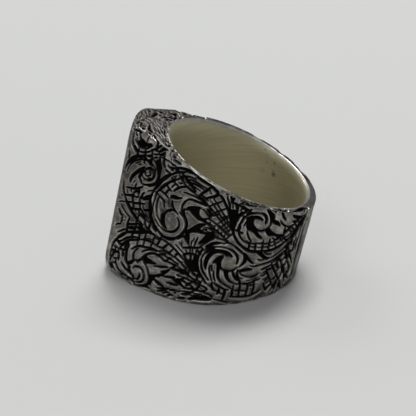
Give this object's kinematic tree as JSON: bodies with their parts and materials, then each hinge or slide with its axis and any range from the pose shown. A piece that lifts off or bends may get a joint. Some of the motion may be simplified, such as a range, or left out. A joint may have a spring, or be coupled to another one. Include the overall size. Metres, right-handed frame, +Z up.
{
  "type": "signet letter ring",
  "caption": "Heavy silver signet ring with a narrow upright face, straight shoulders and scroll-engraved walls, lying on its side.",
  "frame": {"origin": "centre of the ring's box, on the floor that the lower side face rests on", "axes": "+X from the face towards the back of the shank, +Y across the ring, +Z up; the finger opening leans 13.3 degrees from +Z towards +X"},
  "size_m": [0.028, 0.021, 0.0216],
  "materials": {
    "silver": "sterling silver, engraved and blackened in the cuts, worn bright on the high places"
  },
  "bodies": {
    "root": {"signet_ring": "silver"}
  },
  "joints": []
}
